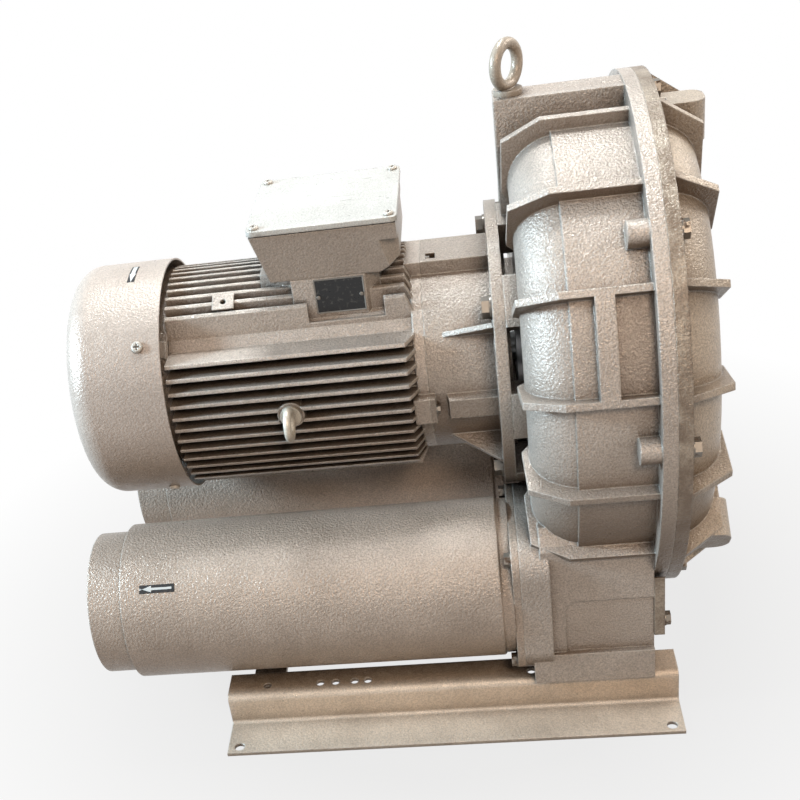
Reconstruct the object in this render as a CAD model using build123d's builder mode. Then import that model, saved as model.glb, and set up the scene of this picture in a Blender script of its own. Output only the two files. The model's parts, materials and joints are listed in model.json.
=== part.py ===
"""Side channel blower: a flange motor on a ribbed two-part casing, with two
silencers underneath and a pair of folded rails as its base.

Millimetres, +Z up.  X runs along the shaft, from the fan cowl to the casing
cover, and -Y is the side with the bare name plate.  The origin lies on the
floor in the middle of the four foot holes.
"""
import os
from math import cos, radians, sin, sqrt

from build123d import *

os.makedirs("parts", exist_ok=True)

# Overall layout
axis_height = 340.0        # shaft axis above the floor
flange_x = 78.0            # motor side face of the motor flange
fit = 0.05                 # radial clearance of turned parts that locate each other
seat_gap = 0.3             # clearance between a turning piece and a fixed one

# Base rails
rail_length = 483.0
rail_sheet = 4.0
rail_height = 41.0
rail_riser_y = 204.0       # outer face of the riser, from the middle
rail_top_width = 38.0
rail_foot_width = 49.0
rail_bend = 4.0            # inside bend radius
foot_hole_x = 229.0
foot_hole_y = 243.5
foot_hole_d = 11.0
cross_tie_x = (-198.0, 158.0)
cross_tie_width = 36.0

# Casing: two halves round a vaned wheel, with a ring channel on either side of it
torus_r = 189.5            # middle circle of the ring channel
torus_in = 42.5            # section radius of the channel
torus_wall = 6.5
wheel_width = 77.4
wheel_side_gap = 0.8       # between the wheel and the sealing land, each side
channel_x = 151.0          # plane where the motor side channel opens to the wheel
drum_rise = 3.5            # plain drum, over the channel wall
rib_rise = 12.5            # motor side ribs, over the drum
rim_rise = 21.7            # clamped rims, over the drum
motor_rim_width = 13.5
cover_rim_width = 13.0
web_x = 106.0              # motor side face of the casing web
web_thick = 10.0
land_reach = 19.0          # sealing lands, inward from the channel
land_width = 8.0
plate_depth = 25.0         # from the parting plane to the inside of the cover plate
plate_thick = 10.0
rib_count = 16
rib_thick = 7.0
casing_bolts = 8
casing_bolt_rise = 8.0     # bolt circle, over the drum
casing_bolt_d = 10.0
bolt_boss_d = 25.0
bolt_boss_length = 19.0

# Foot block of the casing with its two ports
foot_half_width = 205.0
foot_pad_half_width = 210.0
foot_left_x = 93.5
foot_right_x = 216.5
foot_pad_top = 78.0
foot_drop = 135.0          # top of the foot block, below the shaft axis
foot_wall = 9.0
port_y = 133.0
port_z = 130.0
port_r = 50.0
port_flange_x = 85.0
port_flange_thick = 29.0
port_flange_size = 160.0
port_flange_corner = 34.0
port_bolt_spacing = 128.6
silencer_bolt_d = 8.0

# Silencers
silencer_r = 85.0
silencer_wall = 3.0
silencer_left_x = -333.0
silencer_flange_thick = 8.0
collar_r = 77.5
collar_left_x = -371.0
inner_tube_r = 52.0
inner_tube_wall = 2.0

# Motor
flange_r = 150.0
flange_thick = 12.0
flange_bolt_r = 132.5
flange_bolt_d = 12.0
flange_bolt_angle = 41.0
spigot_r = 115.0
spigot_depth = 4.0
bell_r = 104.0
bell_wall = 8.0
bell_length = 69.0
housing_length = 264.0
housing_r = 99.0           # root of the cooling fins
housing_bore_r = 90.0
fin_tip_r = 122.5
side_fin_pitch = 13.2
top_fin_pitch = 11.3
fin_thick = 3.6
shelf_z = 59.0             # highest side fin, above the axis
cowl_r = 126.0
cowl_wall = 2.0
cowl_length = 106.0
cowl_corner = 27.0
shaft_r = 19.0
shaft_end_x = 206.0
bearing_bore_r = 20.0
bearing_r = 45.0
bearing_width = 23.0
tail_bearing_r = 40.0
tail_bearing_width = 18.0

# Terminal box
box_x = -80.0              # middle of the lid along the motor
lid_length = 149.0
lid_width = 154.0
lid_thick = 5.0
lid_corner = 7.0
lid_top = 180.5            # above the axis
lid_screw_x = 66.5
lid_screw_y = 67.5
box_height = 55.0
box_taper = 13.0           # each long wall leans in by this much
box_wall = 4.0

parting_x = channel_x + wheel_width + 2 * wheel_side_gap
flange_face_x = flange_x + flange_thick
bell_left_x = flange_x - bell_length
housing_left_x = bell_left_x - housing_length
cowl_rim_x = housing_left_x - 3.0
cowl_end_x = cowl_rim_x - cowl_length
torus_out = torus_in + torus_wall
channel_top_r = torus_r + torus_in
channel_bottom_r = torus_r - torus_in
drum_r = torus_r + torus_out + drum_rise
rib_r = drum_r + rib_rise
rim_r = drum_r + rim_rise
casing_bolt_r = drum_r + casing_bolt_rise
land_r = channel_bottom_r - land_reach
foot_top = axis_height - foot_drop
shaft_line = Axis((0, 0, axis_height), (1, 0, 0))
lug_top = rim_r - 1.7      # lifting lug above the axis, just under the rim
lug_half_width = 19.0


def across(x):
    """Plane across the shaft at x, with local x along +Y and local y along +Z."""
    return Plane(origin=(x, 0, axis_height), x_dir=(0, 1, 0), z_dir=(1, 0, 0))


def along(angle=90.0):
    """Plane through the shaft, with local x along +X and local y outward at the angle.

    The angle is taken from the front (-Y) towards the top."""
    a = radians(angle)
    return Plane(origin=(0, 0, axis_height), x_dir=(1, 0, 0), z_dir=(0, -sin(a), -cos(a)))


def span(x0, x1, r0, r1, mode=Mode.ADD):
    """Rectangle between two stations and two radii in the current sketch."""
    with Locations(((x0 + x1) / 2, (r0 + r1) / 2)):
        Rectangle(x1 - x0, r1 - r0, mode=mode)


def block(x0, x1, y0, y1, z0, z1, mode=Mode.ADD):
    """Box between two corners in the current part."""
    with Locations(((x0 + x1) / 2, (y0 + y1) / 2, (z0 + z1) / 2)):
        Box(x1 - x0, y1 - y0, z1 - z0, mode=mode)


def tube(x0, x1, r0, r1, y=0.0, z=None, mode=Mode.ADD):
    """Tube along the shaft direction in the current part, solid when r0 is 0."""
    height = axis_height if z is None else z
    with BuildSketch(Plane(origin=(x0, y, height), x_dir=(0, 1, 0), z_dir=(1, 0, 0))) as ring:
        Circle(r1)
        if r0 > 0:
            Circle(r0, mode=Mode.SUBTRACT)
    extrude(ring.sketch, amount=x1 - x0, mode=mode)


def plate(points, angle, thickness, mode=Mode.ADD):
    """Flat plate through the shaft at an angle, from its outline in (x, radius)."""
    with BuildSketch(along(angle)) as outline:
        with BuildLine():
            Polyline(*points, close=True)
        make_face()
    extrude(outline.sketch, amount=thickness / 2, both=True, mode=mode)


def ring_spots(count, radius, first=0.0):
    """Places (y, z from the axis) on a circle, the first one at the angle given."""
    step = 360.0 / count
    return [(-radius * cos(radians(first + i * step)), radius * sin(radians(first + i * step)))
            for i in range(count)]


def peg(seat, radius, height, bore=0.0, mode=Mode.ADD):
    """Round peg or ring on a plane in the current part; a negative height goes below it."""
    with BuildSketch(seat) as ring:
        Circle(radius)
        if bore > 0:
            Circle(bore, mode=Mode.SUBTRACT)
    extrude(ring.sketch, amount=height, mode=mode)


def facing(x, y, z, towards):
    """Plane at a point whose normal runs along X, towards +X or -X."""
    return Plane(origin=(x, y, z), x_dir=(0, 1, 0), z_dir=(towards, 0, 0))


def outward(x, radius, angle=90.0):
    """Plane that faces straight away from the shaft, at a station, radius and angle."""
    a = radians(angle)
    return Plane(origin=(x, -radius * cos(a), axis_height + radius * sin(a)),
                 x_dir=(1, 0, 0), z_dir=(0, -cos(a), sin(a)))


def turned(steps, bore=0.0, mode=Mode.ADD):
    """Turned piece round the shaft line, from its steps (x0, x1, radius)."""
    with BuildSketch(along()) as half:
        for x0, x1, radius in steps:
            span(x0, x1, bore, radius)
    revolve(half.sketch, axis=shaft_line, mode=mode)


def hex_bolt(seat, d, shank):
    """Hexagon bolt with a washer, standing on a plane in the current part."""
    washer = 0.2 * d
    peg(seat, d, washer)
    with BuildSketch(seat.offset(washer)) as head:
        RegularPolygon(0.92 * d, 6)
    extrude(head.sketch, amount=0.62 * d)
    peg(seat, d / 2 - fit, -shank)


def pan_screw(seat, d, shank):
    """Cross-head pan screw standing on a plane in the current part."""
    peg(seat, d, 0.35 * d)
    with BuildSketch(seat.offset(0.35 * d)) as dome:
        Circle(d)
    extrude(dome.sketch, amount=0.25 * d, taper=40)
    peg(seat, d / 2 - fit, -shank)
    with BuildSketch(seat.offset(0.3 * d)) as cross:
        Rectangle(1.1 * d, 0.24 * d)
        Rectangle(0.24 * d, 1.1 * d)
    extrude(cross.sketch, amount=0.5 * d, mode=Mode.SUBTRACT)


def eye_bolt(seat, ring_d, hole_d, shoulder_d, thread_d, thread):
    """Eye bolt on a plane in the current part, its ring in the plane's x and normal."""
    wire = (ring_d - hole_d) / 4
    middle = (ring_d + hole_d) / 4
    neck = 0.2 * shoulder_d
    peg(seat, shoulder_d / 2, neck)
    peg(seat, thread_d / 2 - fit, -thread)
    centre = seat.origin + seat.z_dir * (neck + ring_d / 2 - 0.5 * wire)
    with BuildSketch(Plane(origin=centre, x_dir=seat.x_dir, z_dir=seat.z_dir)) as section:
        with Locations((middle, 0)):
            Circle(wire)
    revolve(section.sketch, axis=Axis(centre, seat.y_dir))


def save(piece, name):
    """Name a finished piece and write it to its own file."""
    piece.part.label = name
    export_step(piece.part, f"parts/{name}.step")


# Base: two folded Z rails and two flat ties welded under their top flanges
rail_row_x = (cross_tie_x[0], -139.0, -122.0, -101.0, -86.5, 90.0)
rail_row_y = rail_riser_y - 16.0
rail_row_d = 9.0
casing_foot_bolt_x = (cross_tie_x[1] - 38.0, cross_tie_x[1] + 32.0)
casing_foot_bolt_y = 182.0
casing_foot_bolt_d = 12.0
casing_foot_bolt_depth = 18.0
for side, name in ((-1, "front_rail"), (1, "rear_rail")):
    with BuildPart() as rail:
        with BuildSketch(Plane.YZ.offset(-rail_length / 2)):
            mid = rail_sheet / 2
            riser = side * (rail_riser_y - mid)
            with BuildLine():
                FilletPolyline(
                    (side * (rail_riser_y + rail_foot_width), mid), (riser, mid),
                    (riser, rail_height - mid),
                    (side * (rail_riser_y - rail_top_width), rail_height - mid),
                    radius=rail_bend + mid)
            trace(line_width=rail_sheet)
        extrude(amount=rail_length)
        for x in (-foot_hole_x, foot_hole_x):
            peg(Plane(origin=(x, side * foot_hole_y, -1)), foot_hole_d / 2, rail_sheet + 2,
                mode=Mode.SUBTRACT)
        for x in rail_row_x:
            peg(Plane(origin=(x, side * rail_row_y, rail_height + 1)), rail_row_d / 2,
                -rail_sheet - 2, mode=Mode.SUBTRACT)
        for x in casing_foot_bolt_x:
            peg(Plane(origin=(x, side * casing_foot_bolt_y, rail_height + 1)),
                casing_foot_bolt_d / 2 + 0.5, -rail_sheet - 2, mode=Mode.SUBTRACT)
    save(rail, name)

tie_thick = 5.0
tie_reach = rail_riser_y - rail_sheet - rail_bend - 1.0
tie_top = rail_height - rail_sheet
with BuildPart() as cross_ties:
    for x in cross_tie_x:
        block(x - cross_tie_width / 2, x + cross_tie_width / 2, -tie_reach, tie_reach,
              tie_top - tie_thick, tie_top)
    for side in (-1, 1):
        peg(Plane(origin=(cross_tie_x[0], side * rail_row_y, tie_top + 1)), rail_row_d / 2,
            -tie_thick - 2, mode=Mode.SUBTRACT)
save(cross_ties, "cross_ties")

port_cover_x = foot_right_x
port_cover_thick = 10.5
port_cover_z = 93.0
port_cover_height = 72.0
port_cover_width = 100.0
port_cover_gap = 4.3       # between the cover plates and the rim
port_cover_screw_d = 8.0
port_cover_screw_depth = 12.0
port_cover_spots = [(196.0, 107.6), (150.0, 104.0)]
panel_x, panel_top = 128.0, 142.0
panel_depth = 2.0
panel_corner = 14.0

# Casing, motor side: the outside that the ribs and the foot block grow from
with BuildPart() as motor_side_skin:
    with BuildSketch(along()):
        with Locations((channel_x, torus_r)):
            Circle(torus_out)
        span(channel_x - 7, parting_x, torus_r, drum_r)
        span(channel_x, parting_x, 1, torus_r)
        span(web_x, channel_x, 1, torus_r)
    revolve(axis=shaft_line)

# What the two channels and the wheel need inside the casing
wheel_left = channel_x + wheel_side_gap
wheel_right = wheel_left + wheel_width
seal_bore = 42.0
with BuildPart() as motor_side_space:
    with BuildSketch(along()):
        with Locations((channel_x, torus_r)):
            Circle(torus_in)
        span(channel_x, parting_x + 1, 1, channel_top_r)
        span(web_x + web_thick, channel_x - land_width, 1, channel_bottom_r - torus_wall)
        span(channel_x - land_width, channel_x, 1, land_r)
        span(web_x - 1, web_x + web_thick, 1, seal_bore)
        with BuildLine():
            near = channel_x - land_width
            low = torus_r - sqrt(torus_out ** 2 - (near - channel_x) ** 2)
            deep = web_x + web_thick
            high = torus_r - sqrt(torus_out ** 2 - (deep - channel_x) ** 2)
            middle = (near + deep) / 2
            bow = torus_r - sqrt(torus_out ** 2 - (middle - channel_x) ** 2)
            ThreePointArc((near, low), (middle, bow), (deep, high))
            Polyline((deep, high), (deep, channel_bottom_r - torus_wall - 1),
                     (near, channel_bottom_r - torus_wall - 1), (near, low))
        make_face()
    revolve(axis=shaft_line)

# Port chambers in the foot block, which lead from the silencers up into the channel
chamber_left = port_flange_x + 20.0
chamber_right = foot_right_x - 2 * foot_wall
chamber_floor = foot_pad_top - 18.0
chamber_inner_y = 68.0
with BuildPart() as port_chambers:
    for side in (-1, 1):
        inner, outer = side * chamber_inner_y, side * (foot_half_width - foot_wall)
        block(chamber_left, chamber_right, min(inner, outer), max(inner, outer),
              chamber_floor, foot_top - foot_wall)
    add(motor_side_skin.part, mode=Mode.SUBTRACT)

# Rib outline on the motor side: x and radius, from the rim round to the motor flange
rib_nose = channel_x - 53.0
motor_rib = [(parting_x - 5, rib_r), (rib_nose + 37, rib_r), (rib_nose, rib_r - 19),
             (rib_nose - 2.5, rib_r - 72), (rib_nose + 8, rib_r - 86),
             (channel_x - 30, torus_r - 20), (channel_x, torus_r), (parting_x - 5, torus_r)]
spacer_thick = web_x - flange_face_x
spacer_arc = 20.0
band_x0, band_x1 = channel_x + 14.5, channel_x + 32.0
lug_foot_r = 142.0
lug_flat_thick = 8.0
lug_boss_r = 15.0
eye_thread_d, eye_thread_depth = 12.0, 25.0
foot_width = 52.0
foot_shoulder = 25.0       # the block is lower by this much in front of the web
foot_skirt = 26.0          # the block hangs down behind the feet by this much
foot_gusset_rise = 20.0
silencer_bolt_depth = 18.0
casing_bolt_depth = 25.0
passage_y0, passage_y1 = chamber_inner_y + 12, port_y + 16
passage_z0, passage_z1 = port_z - 20, port_z + 30
stripper_arc = 24.0
eye_x = channel_x - 42.0
rib_step = 360.0 / rib_count
rim_left = parting_x - motor_rim_width
with BuildPart() as motor_side_casing:
    add(motor_side_skin.part)
    tube(rim_left, parting_x, drum_r - 3, rim_r)
    for i in range(rib_count):
        plate(motor_rib, rib_step * (i + 0.5), rib_thick)
    for y, z in ring_spots(casing_bolts, casing_bolt_r):
        peg(facing(rim_left + 1, y, axis_height + z, -1), bolt_boss_d / 2, bolt_boss_length + 1)
    # Raised band that joins two ribs on the front
    with BuildSketch(along(1.5 * rib_step)):
        span(band_x0, band_x1, drum_r - 3, rib_r)
    revolve(axis=shaft_line, revolution_arc=rib_step)
    # Lifting lug on top: a flat between two webs, with a boss for the eye bolt
    block(rib_nose - 4, rim_left + 1, -lug_half_width, lug_half_width,
          axis_height + lug_top - lug_flat_thick, axis_height + lug_top)
    for side in (-1, 1):
        with BuildSketch(Plane.XZ.offset(-side * (lug_half_width - rib_thick / 2))):
            with BuildLine():
                Polyline(*[(x, axis_height + r) for x, r in (
                    (rib_nose - 4, lug_top), (rim_left + 1, lug_top), (rim_left + 1, torus_r),
                    (channel_x - 15, torus_r), (web_x + 3, lug_foot_r),
                    (rib_nose - 4, lug_foot_r))], close=True)
            make_face()
        extrude(amount=rib_thick / 2, both=True)
    peg(Plane(origin=(eye_x, 0, axis_height + torus_r)), lug_boss_r, lug_top - torus_r)
    # Foot block, port flanges and the two feet that stand on the rails
    block(web_x, foot_right_x, -foot_half_width, foot_half_width,
          foot_pad_top - foot_skirt, foot_top)
    block(foot_left_x, web_x, -foot_half_width, foot_half_width,
          foot_pad_top - foot_skirt, foot_top - foot_shoulder)
    with BuildSketch(across(web_x)):
        with BuildLine():
            Polyline((-foot_half_width, foot_top - axis_height),
                     (foot_half_width, foot_top - axis_height),
                     (torus_r, foot_top + foot_gusset_rise - axis_height),
                     (-torus_r, foot_top + foot_gusset_rise - axis_height), close=True)
        make_face()
    extrude(amount=rim_left - web_x)
    for side in (-1, 1):
        with BuildSketch(facing(port_flange_x, side * port_y, port_z, 1)):
            RectangleRounded(port_flange_size, port_flange_size, port_flange_corner)
        extrude(amount=port_flange_thick)
        outer, inner = side * foot_pad_half_width, side * (foot_pad_half_width - foot_width)
        block(foot_left_x, foot_right_x, min(outer, inner), max(outer, inner),
              rail_height, foot_pad_top)
    # Shallow recessed panel on both ends of the foot block
    for side in (-1, 1):
        with BuildSketch(Plane.XZ.offset(-side * foot_half_width)) as panel:
            span(panel_x, foot_right_x + 1, foot_pad_top, panel_top)
            fillet(panel.vertices().sort_by_distance((panel_x, panel_top, 0))[0], panel_corner)
        extrude(amount=side * panel_depth, mode=Mode.SUBTRACT)
    # Spacer pads that hold the motor flange off the hot casing
    for i in range(8):
        angle = flange_bolt_angle + 45.0 * i
        with BuildSketch(along(angle + spacer_arc / 2)):
            span(flange_face_x, web_x + 1, spigot_r + fit, flange_r)
        revolve(axis=shaft_line, revolution_arc=spacer_arc)
    add(motor_side_space.part, mode=Mode.SUBTRACT)
    add(port_chambers.part, mode=Mode.SUBTRACT)
    block(foot_left_x + foot_wall, chamber_right, -chamber_inner_y + foot_wall,
          chamber_inner_y - foot_wall, rail_height, foot_pad_top - 3, mode=Mode.SUBTRACT)
    for side in (-1, 1):
        near_y, far_y = side * passage_y0, side * passage_y1
        block(chamber_left + 6, channel_x, min(near_y, far_y), max(near_y, far_y),
              passage_z0, passage_z1, mode=Mode.SUBTRACT)
        tube(port_flange_x - 1, chamber_left + 1, 0, port_r, side * port_y, port_z,
             mode=Mode.SUBTRACT)
        for dy in (-1, 1):
            for dz in (-1, 1):
                peg(facing(port_flange_x - 1, side * port_y + dy * port_bolt_spacing / 2,
                           port_z + dz * port_bolt_spacing / 2, 1),
                    silencer_bolt_d / 2, silencer_bolt_depth + 1, mode=Mode.SUBTRACT)
        for x in casing_foot_bolt_x:
            peg(Plane(origin=(x, side * casing_foot_bolt_y, rail_height - 1)),
                casing_foot_bolt_d / 2, casing_foot_bolt_depth, mode=Mode.SUBTRACT)
        for y, z in port_cover_spots:
            peg(facing(port_cover_x + 1, side * y, z, -1), port_cover_screw_d / 2,
                port_cover_screw_depth + 1, mode=Mode.SUBTRACT)
    for y, z in ring_spots(casing_bolts, casing_bolt_r):
        peg(facing(parting_x + 1, y, axis_height + z, -1), casing_bolt_d / 2,
            casing_bolt_depth + 1, mode=Mode.SUBTRACT)
    for y, z in ring_spots(4, flange_bolt_r, flange_bolt_angle):
        peg(facing(flange_face_x - 1, y, axis_height + z, 1), flange_bolt_d / 2,
            spacer_thick + web_thick + 2, mode=Mode.SUBTRACT)
    peg(Plane(origin=(eye_x, 0, axis_height + lug_top + 1)), eye_thread_d / 2,
        -eye_thread_depth - 1, mode=Mode.SUBTRACT)
    # Stripper that closes the channel between the two ports
    with BuildSketch(along(-90 + stripper_arc / 2)):
        with Locations((channel_x, torus_r)):
            Circle(torus_in + 1)
        span(channel_x, channel_x + torus_out, 1, drum_r, mode=Mode.SUBTRACT)
    revolve(axis=shaft_line, revolution_arc=stripper_arc)
save(motor_side_casing, "motor_side_casing")

# Casing, cover side
plate_x = parting_x + plate_depth
hub_face_x = parting_x + 46.0
hub_boss_r = 60.0
hub_bore_r = 45.0
cover_rim_x = parting_x + cover_rim_width
cover_rib = [(parting_x + 5, rib_r), (cover_rim_x, rib_r + 5.5), (parting_x + 54, rib_r - 23.5),
             (parting_x + 54, torus_r - 14.5), (parting_x + 42, torus_r - 39.5),
             (parting_x + 42, hub_boss_r - 2), (plate_x + 2, hub_boss_r - 2),
             (plate_x + 2, torus_r - 30), (parting_x + 5, torus_r)]
cover_lug_r = drum_r - 3.0
cover_lug_reach = 62.0
cover_lug_width = 40.0
hub_screw_d = 6.0
hub_screw_r = 51.5
hub_screw_depth = 15.0
hub_cover_thick = 6.0
with BuildPart() as outer_casing:
    with BuildSketch(along()):
        with Locations((parting_x, torus_r)):
            Circle(torus_out)
        span(parting_x, cover_rim_x, torus_r, rim_r)
        span(plate_x, plate_x + plate_thick, hub_bore_r, torus_r - 30)
        span(plate_x, hub_face_x, hub_bore_r, hub_boss_r)
        span(parting_x, parting_x + land_width, land_r, torus_r)
        span(parting_x - torus_out, parting_x, hub_bore_r, rim_r + 1, mode=Mode.SUBTRACT)
    revolve(axis=shaft_line)
    for i in range(rib_count):
        plate(cover_rib, rib_step * (i + 0.5), rib_thick)
    for angle in (90, -38, 218):
        with BuildSketch(outward(0, torus_r + 10, angle)) as lug:
            span(cover_rim_x - 2, parting_x + cover_lug_reach, -cover_lug_width / 2,
                 cover_lug_width / 2)
            fillet(lug.vertices().group_by(Axis.X)[-1], cover_lug_width * 0.35)
        extrude(amount=cover_lug_r - torus_r - 10)
    with BuildSketch(along()):
        with Locations((parting_x, torus_r)):
            Circle(torus_in)
    revolve(axis=shaft_line, mode=Mode.SUBTRACT)
    for y, z in ring_spots(casing_bolts, casing_bolt_r):
        peg(facing(parting_x - 1, y, axis_height + z, 1), casing_bolt_d / 2,
            cover_rim_width + 2, mode=Mode.SUBTRACT)
        peg(facing(cover_rim_x, y, axis_height + z, 1), casing_bolt_d + 2, 14,
            mode=Mode.SUBTRACT)
    for y, z in ring_spots(4, hub_screw_r, 45):
        peg(facing(hub_face_x + 1, y, axis_height + z, -1), hub_screw_d / 2,
            hub_screw_depth + 1, mode=Mode.SUBTRACT)
save(outer_casing, "outer_casing")

with BuildPart() as casing_bolt_set:
    for y, z in ring_spots(casing_bolts, casing_bolt_r):
        hex_bolt(facing(cover_rim_x, y, axis_height + z, 1), casing_bolt_d,
                 cover_rim_width + casing_bolt_depth - 2)
save(casing_bolt_set, "casing_bolts")

with BuildPart() as hub_cover:
    turned([(hub_face_x - 6, hub_face_x, hub_bore_r - fit),
            (hub_face_x, hub_face_x + hub_cover_thick, hub_boss_r - 2)])
    for y, z in ring_spots(4, hub_screw_r, 45):
        peg(facing(hub_face_x - 1, y, axis_height + z, 1), hub_screw_d / 2,
            hub_cover_thick + 2, mode=Mode.SUBTRACT)
save(hub_cover, "hub_cover")

with BuildPart() as hub_cover_screws:
    for y, z in ring_spots(4, hub_screw_r, 45):
        hex_bolt(facing(hub_face_x + hub_cover_thick, y, axis_height + z, 1), hub_screw_d,
                 hub_cover_thick + hub_screw_depth - 3)
save(hub_cover_screws, "hub_cover_screws")

# Cover plates on the blind side of the foot block, clear of the rim
with BuildPart() as port_cover_plates:
    with BuildSketch(across(port_cover_x)):
        for side in (-1, 1):
            inner = side * (foot_half_width - port_cover_width)
            outer = side * foot_half_width
            span(min(inner, outer), max(inner, outer), port_cover_z - axis_height,
                 port_cover_z + port_cover_height - axis_height)
        Circle(rim_r + port_cover_gap, mode=Mode.SUBTRACT)
    extrude(amount=port_cover_thick)
    for side in (-1, 1):
        for y, z in port_cover_spots:
            peg(facing(port_cover_x - 1, side * y, z, 1), port_cover_screw_d / 2,
                port_cover_thick + 2, mode=Mode.SUBTRACT)
save(port_cover_plates, "port_cover_plates")

with BuildPart() as port_cover_bolts:
    for side in (-1, 1):
        for y, z in port_cover_spots:
            hex_bolt(facing(port_cover_x + port_cover_thick, side * y, z, 1),
                     port_cover_screw_d, port_cover_thick + port_cover_screw_depth - 2)
save(port_cover_bolts, "port_cover_bolts")

# Bolts that hold the casing feet on the rails, put in from below
with BuildPart() as casing_foot_bolts:
    for side in (-1, 1):
        for x in casing_foot_bolt_x:
            hex_bolt(Plane(origin=(x, side * casing_foot_bolt_y, rail_height - rail_sheet),
                           z_dir=(0, 0, -1)), casing_foot_bolt_d,
                     rail_sheet + casing_foot_bolt_depth - 3)
save(casing_foot_bolts, "casing_foot_bolts")

# Lifting eye on the casing, its ring turned as the thread stopped
eye_turn = radians(55)
casing_eye_d = 50.0
with BuildPart() as casing_eye_bolt:
    eye_bolt(Plane(origin=(eye_x, 0, axis_height + lug_top),
                   x_dir=(cos(eye_turn), sin(eye_turn), 0)),
             casing_eye_d, casing_eye_d * 0.55, 28.0, eye_thread_d, eye_thread_depth - 3)
save(casing_eye_bolt, "casing_eye_bolt")

# Wheel: vanes on both sides of a waisted disc, carried by a ring, a web and a hub
vane_count = 36
vane_thick = 3.0
wheel_r = channel_top_r - 0.5
wheel_ring_thick = 6.0
hub_r = 36.0
hub_x0, hub_x1 = shaft_end_x - 46.0, shaft_end_x + 4.0
wheel_mid = (wheel_left + wheel_right) / 2
wheel_disc = 6.0
wheel_web = 12.0
key_width, key_height, key_length = 10.0, 8.0, 36.0
key_low = shaft_r - 5.0
key_x = shaft_end_x - 24.0
with BuildPart() as impeller:
    with BuildSketch(across(wheel_left)):
        with PolarLocations((channel_bottom_r + wheel_r) / 2, vane_count):
            Rectangle(wheel_r - channel_bottom_r + 4, vane_thick)
        Circle(wheel_r, mode=Mode.INTERSECT)
        Circle(channel_bottom_r)
        Circle(channel_bottom_r - wheel_ring_thick, mode=Mode.SUBTRACT)
    extrude(amount=wheel_width)
    with BuildSketch(along()):
        with BuildLine():
            half = wheel_width / 2 - 4
            foot_r = channel_bottom_r - 1
            waist_r = channel_bottom_r + 26
            bow_r = channel_bottom_r + 9
            bow = wheel_disc / 2 + 10
            ThreePointArc((wheel_mid - half, foot_r), (wheel_mid - bow, bow_r),
                          (wheel_mid - wheel_disc / 2, waist_r))
            Polyline((wheel_mid - wheel_disc / 2, waist_r), (wheel_mid - wheel_disc / 2, wheel_r),
                     (wheel_mid + wheel_disc / 2, wheel_r), (wheel_mid + wheel_disc / 2, waist_r))
            ThreePointArc((wheel_mid + wheel_disc / 2, waist_r), (wheel_mid + bow, bow_r),
                          (wheel_mid + half, foot_r))
            Line((wheel_mid + half, foot_r), (wheel_mid - half, foot_r))
        make_face()
        span(wheel_mid - wheel_web / 2, wheel_mid + wheel_web / 2, hub_r - 1, foot_r)
        span(hub_x0, hub_x1, shaft_r + fit, hub_r)
    revolve(axis=shaft_line)
    block(hub_x0 - 1, hub_x1 + 1, -key_width / 2, key_width / 2, axis_height,
          axis_height + key_low + key_height + 0.3, mode=Mode.SUBTRACT)
save(impeller, "impeller")

with BuildPart() as drive_key:
    block(key_x - key_length / 2, key_x + key_length / 2, -key_width / 2, key_width / 2,
          axis_height + key_low, axis_height + key_low + key_height)
save(drive_key, "drive_key")

# Shaft with its bearing seats, the rotor seat and the fan seat
bearing_x0 = flange_face_x - 5.0 - bearing_width
bearing_x1 = bearing_x0 + bearing_width
tail_bearing_x0 = housing_left_x - 29.0
tail_bearing_x1 = tail_bearing_x0 + tail_bearing_width
rotor_seat_r = 24.0
fan_seat_r = 14.0
fan_left_x = cowl_end_x + 26.0
wheel_bolt_d = 12.0
wheel_bolt_depth = 30.0
with BuildPart() as shaft:
    turned([(fan_left_x - 3, tail_bearing_x0 - 4, fan_seat_r),
            (tail_bearing_x0 - 4, tail_bearing_x1, bearing_bore_r),
            (tail_bearing_x1, bearing_x0, rotor_seat_r),
            (bearing_x0, bearing_x1 + 1, bearing_bore_r),
            (bearing_x1 + 1, shaft_end_x, shaft_r)])
    block(key_x - key_length / 2, key_x + key_length / 2, -key_width / 2, key_width / 2,
          axis_height + key_low, axis_height + shaft_r + 1, mode=Mode.SUBTRACT)
    peg(facing(shaft_end_x + 1, 0, axis_height, -1), wheel_bolt_d / 2, wheel_bolt_depth + 1,
        mode=Mode.SUBTRACT)
save(shaft, "shaft")

wheel_washer_thick = 5.0
with BuildPart() as wheel_washer:
    tube(hub_x1, hub_x1 + wheel_washer_thick, wheel_bolt_d / 2 + fit, 28.0)
save(wheel_washer, "wheel_washer")

with BuildPart() as wheel_bolt:
    hex_bolt(facing(hub_x1 + wheel_washer_thick, 0, axis_height, 1), wheel_bolt_d,
             wheel_washer_thick + wheel_bolt_depth)
save(wheel_bolt, "wheel_bolt")

# Shaft seal in its carrier, in the bore of the casing web
seal_r = 28.0
carrier_flange = 6.0
with BuildPart() as seal_carrier:
    tube(web_x, web_x + web_thick, seal_r, seal_bore - fit)
    tube(web_x - carrier_flange, web_x, seal_r, seal_bore + 14)
save(seal_carrier, "seal_carrier")

with BuildPart() as shaft_seal:
    tube(web_x - 1, web_x + web_thick - 1, shaft_r + seat_gap, seal_r - fit)
save(shaft_seal, "shaft_seal")

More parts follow.
